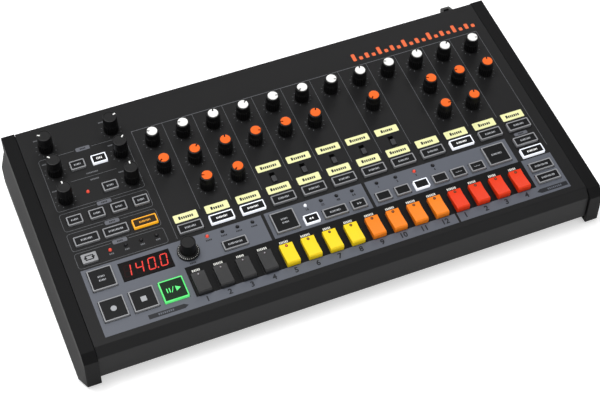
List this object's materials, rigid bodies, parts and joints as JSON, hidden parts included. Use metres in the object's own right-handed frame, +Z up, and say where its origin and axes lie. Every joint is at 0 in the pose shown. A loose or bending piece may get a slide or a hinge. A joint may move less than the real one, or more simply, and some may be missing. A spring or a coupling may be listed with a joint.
{
  "type": "drum machine",
  "caption": "Desktop drum machine: sloping steel top with rotary knobs, framed buttons, slide switches, coloured step keys and a number display between flared end cheeks.",
  "frame": {"origin": "on the floor under the middle of the whole object", "axes": "+Z up, +X to the player's right, +Y from the player towards the rear sockets"},
  "size_m": [0.498, 0.2624, 0.0792],
  "materials": {
    "panel_steel": "fine textured dark grey paint",
    "tray_steel": "black powder coat",
    "cheek_plastic": "satin moulded black",
    "key_bed_plastic": "dull black",
    "circuit_board": "green solder mask",
    "potentiometer_metal": "plated steel cans",
    "switch_plastic": "black moulded",
    "display_plastic": "dark red tinted window",
    "lamp_plastic": "clear and red domes",
    "socket_plastic": "black moulded sockets",
    "hook_plastic": "black moulded",
    "foot_rubber": "soft black pads",
    "screw_steel": "black oxide",
    "knob_plastic": "soft-touch black",
    "white_cap_plastic": "satin white",
    "orange_cap_plastic": "satin orange",
    "lever_plastic": "dark grey moulded",
    "button_plastic": "translucent grey frames",
    "legend_plate_plastic": "dark inset plates",
    "black_key_plastic": "satin black",
    "yellow_key_plastic": "satin yellow",
    "orange_key_plastic": "satin orange",
    "red_key_plastic": "satin red",
    "panel_print": "screen-printed ink",
    "rocker_plastic": "black"
  },
  "bodies": {
    "case": {"top_panel": "panel_steel", "bottom_tray": "tray_steel", "rear_panel": "tray_steel", "left_end_cheek": "cheek_plastic", "right_end_cheek": "cheek_plastic", "key_bed": "key_bed_plastic", "control_board": "circuit_board", "jack_board": "circuit_board", "potentiometers": "potentiometer_metal", "switch_housings": "switch_plastic", "number_display": "display_plastic", "indicator_lamps": "lamp_plastic", "output_jacks": "socket_plastic", "midi_sockets": "socket_plastic", "power_and_data_sockets": "socket_plastic", "cable_hook": "hook_plastic", "rubber_feet": "foot_rubber", "case_screws": "screw_steel"},
    "level_knob_1": {"level_knob_1": "knob_plastic"},
    "level_knob_2": {"level_knob_2": "knob_plastic"},
    "level_knob_3": {"level_knob_3": "knob_plastic"},
    "level_knob_4": {"level_knob_4": "knob_plastic"},
    "level_knob_5": {"level_knob_5": "knob_plastic"},
    "level_knob_6": {"level_knob_6": "knob_plastic"},
    "level_knob_7": {"level_knob_7": "knob_plastic"},
    "level_knob_8": {"level_knob_8": "knob_plastic"},
    "level_knob_9": {"level_knob_9": "knob_plastic"},
    "level_knob_10": {"level_knob_10": "knob_plastic"},
    "level_knob_11": {"level_knob_11": "knob_plastic"},
    "level_knob_12": {"level_knob_12": "knob_plastic"},
    "tone_knob_1": {"tone_knob_1": "knob_plastic"},
    "tone_knob_2": {"tone_knob_2": "knob_plastic"},
    "tone_knob_3": {"tone_knob_3": "knob_plastic"},
    "tone_knob_4": {"tone_knob_4": "knob_plastic"},
    "tone_knob_5": {"tone_knob_5": "knob_plastic"},
    "tone_knob_6": {"tone_knob_6": "knob_plastic"},
    "tone_knob_8": {"tone_knob_8": "knob_plastic"},
    "tone_knob_10": {"tone_knob_10": "knob_plastic"},
    "tone_knob_11": {"tone_knob_11": "knob_plastic"},
    "tone_knob_12": {"tone_knob_12": "knob_plastic"},
    "decay_knob_2": {"decay_knob_2": "knob_plastic"},
    "decay_knob_3": {"decay_knob_3": "knob_plastic"},
    "decay_knob_10": {"decay_knob_10": "knob_plastic"},
    "decay_knob_11": {"decay_knob_11": "knob_plastic"},
    "black_knob_1": {"black_knob_1": "knob_plastic"},
    "black_knob_2": {"black_knob_2": "knob_plastic"},
    "black_knob_3": {"black_knob_3": "knob_plastic"},
    "black_knob_4": {"black_knob_4": "knob_plastic"},
    "black_knob_5": {"black_knob_5": "knob_plastic"},
    "black_knob_6": {"black_knob_6": "knob_plastic"},
    "data_knob": {"data_knob": "knob_plastic"},
    "slide_levers": {"slide_levers": "lever_plastic"},
    "step_keys_black": {"step_keys_black": "black_key_plastic"},
    "step_keys_yellow": {"step_keys_yellow": "yellow_key_plastic"},
    "step_keys_orange": {"step_keys_orange": "orange_key_plastic"},
    "step_keys_red": {"step_keys_red": "red_key_plastic"},
    "select_buttons": {"select_buttons": "button_plastic"},
    "function_buttons": {"function_buttons": "button_plastic"},
    "square_pads": {"square_pads": "button_plastic"},
    "power_rocker": {"power_rocker": "rocker_plastic"}
  },
  "joints": [
    {"name": "level_knob_1_turn", "type": "hinge", "parent": "case", "child": "level_knob_1", "pos_m": [-0.11645, 0.06352, 0.06512], "axis": [0, -0.0785, 0.9969], "range_deg": [-219, 81]},
    {"name": "level_knob_2_turn", "type": "hinge", "parent": "case", "child": "level_knob_2", "pos_m": [-0.08715, 0.06352, 0.06512], "axis": [0, -0.0785, 0.9969], "range_deg": [-219, 81]},
    {"name": "level_knob_3_turn", "type": "hinge", "parent": "case", "child": "level_knob_3", "pos_m": [-0.05785, 0.06352, 0.06512], "axis": [0, -0.0785, 0.9969], "range_deg": [-136, 164]},
    {"name": "level_knob_4_turn", "type": "hinge", "parent": "case", "child": "level_knob_4", "pos_m": [-0.02855, 0.06352, 0.06512], "axis": [0, -0.0785, 0.9969], "range_deg": [-105, 195]},
    {"name": "level_knob_5_turn", "type": "hinge", "parent": "case", "child": "level_knob_5", "pos_m": [0.00075, 0.06352, 0.06512], "axis": [0, -0.0785, 0.9969], "range_deg": [-49, 251]},
    {"name": "level_knob_6_turn", "type": "hinge", "parent": "case", "child": "level_knob_6", "pos_m": [0.03005, 0.06352, 0.06512], "axis": [0, -0.0785, 0.9969], "range_deg": [-271, 29]},
    {"name": "level_knob_7_turn", "type": "hinge", "parent": "case", "child": "level_knob_7", "pos_m": [0.05935, 0.06352, 0.06512], "axis": [0, -0.0785, 0.9969], "range_deg": [-30, 270]},
    {"name": "level_knob_8_turn", "type": "hinge", "parent": "case", "child": "level_knob_8", "pos_m": [0.08865, 0.06352, 0.06512], "axis": [0, -0.0785, 0.9969], "range_deg": [-138, 162]},
    {"name": "level_knob_9_turn", "type": "hinge", "parent": "case", "child": "level_knob_9", "pos_m": [0.11795, 0.06352, 0.06512], "axis": [0, -0.0785, 0.9969], "range_deg": [-210, 90]},
    {"name": "level_knob_10_turn", "type": "hinge", "parent": "case", "child": "level_knob_10", "pos_m": [0.14725, 0.06352, 0.06512], "axis": [0, -0.0785, 0.9969], "range_deg": [-131, 169]},
    {"name": "level_knob_11_turn", "type": "hinge", "parent": "case", "child": "level_knob_11", "pos_m": [0.17655, 0.06352, 0.06512], "axis": [0, -0.0785, 0.9969], "range_deg": [-102, 198]},
    {"name": "level_knob_12_turn", "type": "hinge", "parent": "case", "child": "level_knob_12", "pos_m": [0.20585, 0.06352, 0.06512], "axis": [0, -0.0785, 0.9969], "range_deg": [-39, 261]},
    {"name": "tone_knob_1_turn", "type": "hinge", "parent": "case", "child": "tone_knob_1", "pos_m": [-0.11645, 0.03161, 0.0626], "axis": [0, -0.0785, 0.9969], "range_deg": [-272, 28]},
    {"name": "tone_knob_2_turn", "type": "hinge", "parent": "case", "child": "tone_knob_2", "pos_m": [-0.08715, 0.03161, 0.0626], "axis": [0, -0.0785, 0.9969], "range_deg": [-105, 195]},
    {"name": "tone_knob_3_turn", "type": "hinge", "parent": "case", "child": "tone_knob_3", "pos_m": [-0.05785, 0.03161, 0.0626], "axis": [0, -0.0785, 0.9969], "range_deg": [-141, 159]},
    {"name": "tone_knob_4_turn", "type": "hinge", "parent": "case", "child": "tone_knob_4", "pos_m": [-0.02855, 0.03161, 0.0626], "axis": [0, -0.0785, 0.9969], "range_deg": [-39, 261]},
    {"name": "tone_knob_5_turn", "type": "hinge", "parent": "case", "child": "tone_knob_5", "pos_m": [0.00075, 0.03161, 0.0626], "axis": [0, -0.0785, 0.9969], "range_deg": [-229, 71]},
    {"name": "tone_knob_6_turn", "type": "hinge", "parent": "case", "child": "tone_knob_6", "pos_m": [0.03005, 0.03161, 0.0626], "axis": [0, -0.0785, 0.9969], "range_deg": [-127, 173]},
    {"name": "tone_knob_8_turn", "type": "hinge", "parent": "case", "child": "tone_knob_8", "pos_m": [0.08865, 0.03161, 0.0626], "axis": [0, -0.0785, 0.9969], "range_deg": [-283, 17]},
    {"name": "tone_knob_10_turn", "type": "hinge", "parent": "case", "child": "tone_knob_10", "pos_m": [0.14725, 0.03161, 0.0626], "axis": [0, -0.0785, 0.9969], "range_deg": [-219, 81]},
    {"name": "tone_knob_11_turn", "type": "hinge", "parent": "case", "child": "tone_knob_11", "pos_m": [0.17655, 0.03161, 0.0626], "axis": [0, -0.0785, 0.9969], "range_deg": [-229, 71]},
    {"name": "tone_knob_12_turn", "type": "hinge", "parent": "case", "child": "tone_knob_12", "pos_m": [0.20585, 0.03161, 0.0626], "axis": [0, -0.0785, 0.9969], "range_deg": [-135, 165]},
    {"name": "decay_knob_2_turn", "type": "hinge", "parent": "case", "child": "decay_knob_2", "pos_m": [-0.08715, -0.00019, 0.0601], "axis": [0, -0.0785, 0.9969], "range_deg": [-219, 81]},
    {"name": "decay_knob_3_turn", "type": "hinge", "parent": "case", "child": "decay_knob_3", "pos_m": [-0.05785, -0.00019, 0.0601], "axis": [0, -0.0785, 0.9969], "range_deg": [-284, 16]},
    {"name": "decay_knob_10_turn", "type": "hinge", "parent": "case", "child": "decay_knob_10", "pos_m": [0.14725, -0.00019, 0.0601], "axis": [0, -0.0785, 0.9969], "range_deg": [-49, 251]},
    {"name": "decay_knob_11_turn", "type": "hinge", "parent": "case", "child": "decay_knob_11", "pos_m": [0.17655, -0.00019, 0.0601], "axis": [0, -0.0785, 0.9969], "range_deg": [-136, 164]},
    {"name": "black_knob_1_turn", "type": "hinge", "parent": "case", "child": "black_knob_1", "pos_m": [-0.2091, 0.09013, 0.06721], "axis": [0, -0.0785, 0.9969], "range_deg": [-219, 81]},
    {"name": "black_knob_2_turn", "type": "hinge", "parent": "case", "child": "black_knob_2", "pos_m": [-0.2091, 0.06172, 0.06498], "axis": [0, -0.0785, 0.9969], "range_deg": [-192, 108]},
    {"name": "black_knob_3_turn", "type": "hinge", "parent": "case", "child": "black_knob_3", "pos_m": [-0.2091, 0.03002, 0.06248], "axis": [0, -0.0785, 0.9969], "range_deg": [-152, 148]},
    {"name": "black_knob_4_turn", "type": "hinge", "parent": "case", "child": "black_knob_4", "pos_m": [-0.1475, 0.09013, 0.06721], "axis": [0, -0.0785, 0.9969], "range_deg": [-79, 221]},
    {"name": "black_knob_5_turn", "type": "hinge", "parent": "case", "child": "black_knob_5", "pos_m": [-0.1475, 0.06172, 0.06498], "axis": [0, -0.0785, 0.9969], "range_deg": [-103, 197]},
    {"name": "black_knob_6_turn", "type": "hinge", "parent": "case", "child": "black_knob_6", "pos_m": [-0.1475, 0.03002, 0.06248], "axis": [0, -0.0785, 0.9969], "range_deg": [-144, 156]},
    {"name": "data_knob_turn", "type": "hinge", "parent": "case", "child": "data_knob", "pos_m": [-0.1268, -0.061, 0.05532], "axis": [0, -0.0785, 0.9969], "continuous": true},
    {"name": "slide_levers_shift", "type": "slide", "parent": "case", "child": "slide_levers", "axis": [0, 0.9969, 0.0785], "range_m": [0, 0.004]},
    {"name": "step_keys_black_press", "type": "slide", "parent": "case", "child": "step_keys_black", "axis": [0, 0.0785, -0.9969], "range_m": [0, 0.0008], "stiffness_N_per_m": 400},
    {"name": "step_keys_yellow_press", "type": "slide", "parent": "case", "child": "step_keys_yellow", "axis": [0, 0.0785, -0.9969], "range_m": [0, 0.0008], "stiffness_N_per_m": 400},
    {"name": "step_keys_orange_press", "type": "slide", "parent": "case", "child": "step_keys_orange", "axis": [0, 0.0785, -0.9969], "range_m": [0, 0.0008], "stiffness_N_per_m": 400},
    {"name": "step_keys_red_press", "type": "slide", "parent": "case", "child": "step_keys_red", "axis": [0, 0.0785, -0.9969], "range_m": [0, 0.0008], "stiffness_N_per_m": 400},
    {"name": "select_buttons_press", "type": "slide", "parent": "case", "child": "select_buttons", "axis": [0, 0.0785, -0.9969], "range_m": [0, 0.0006], "stiffness_N_per_m": 600},
    {"name": "function_buttons_press", "type": "slide", "parent": "case", "child": "function_buttons", "axis": [0, 0.0785, -0.9969], "range_m": [0, 0.0006], "stiffness_N_per_m": 600},
    {"name": "square_pads_press", "type": "slide", "parent": "case", "child": "square_pads", "axis": [0, 0.0785, -0.9969], "range_m": [0, 0.0006], "stiffness_N_per_m": 600},
    {"name": "power_rocker_tip", "type": "hinge", "parent": "case", "child": "power_rocker", "pos_m": [0.185, 0.11578, 0.034], "axis": [-1, 0, 0], "range_deg": [0, 22]}
  ]
}
